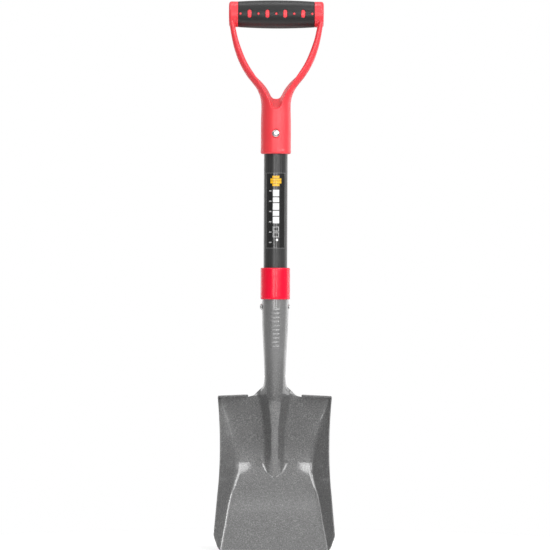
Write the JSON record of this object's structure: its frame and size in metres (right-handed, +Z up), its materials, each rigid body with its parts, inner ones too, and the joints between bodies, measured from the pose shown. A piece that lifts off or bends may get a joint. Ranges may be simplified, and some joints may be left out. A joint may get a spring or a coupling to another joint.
{
  "type": "d-handle square-mouth shovel",
  "caption": "Compact square-mouth digging shovel: dished steel blade with foot treads and rolled socket, fibreglass shaft, collar and moulded D-handle with a soft crossbar sleeve.",
  "frame": {"origin": "middle of the blade's cutting edge, in the middle of the sheet's thickness", "axes": "+Z up the shaft towards the grip, -Y to the front (load side of the blade), +X to the right seen from the front"},
  "size_m": [0.1548, 0.0426, 0.7],
  "materials": {
    "blade_coat": "silver-grey hammered powder coat on pressed steel",
    "shaft_fibreglass": "satin dark grey pultruded fibreglass",
    "plug_wood": "plain turned hardwood",
    "collar_red": "glossy red moulded plastic",
    "rivet_steel": "bright zinc-plated steel",
    "grip_red": "satin red moulded polypropylene",
    "grip_rubber": "fine-textured black soft overmould",
    "label_film": null
  },
  "bodies": {
    "root": {"blade": "blade_coat", "shaft_tube": "shaft_fibreglass", "socket_plug": "plug_wood", "shaft_top_plug": "plug_wood", "ferrule_collar": "collar_red", "socket_rivet": "rivet_steel", "grip_yoke": "grip_red", "grip_sleeve": "grip_rubber", "grip_rivet": "rivet_steel", "shaft_label": "label_film"}
  },
  "joints": []
}
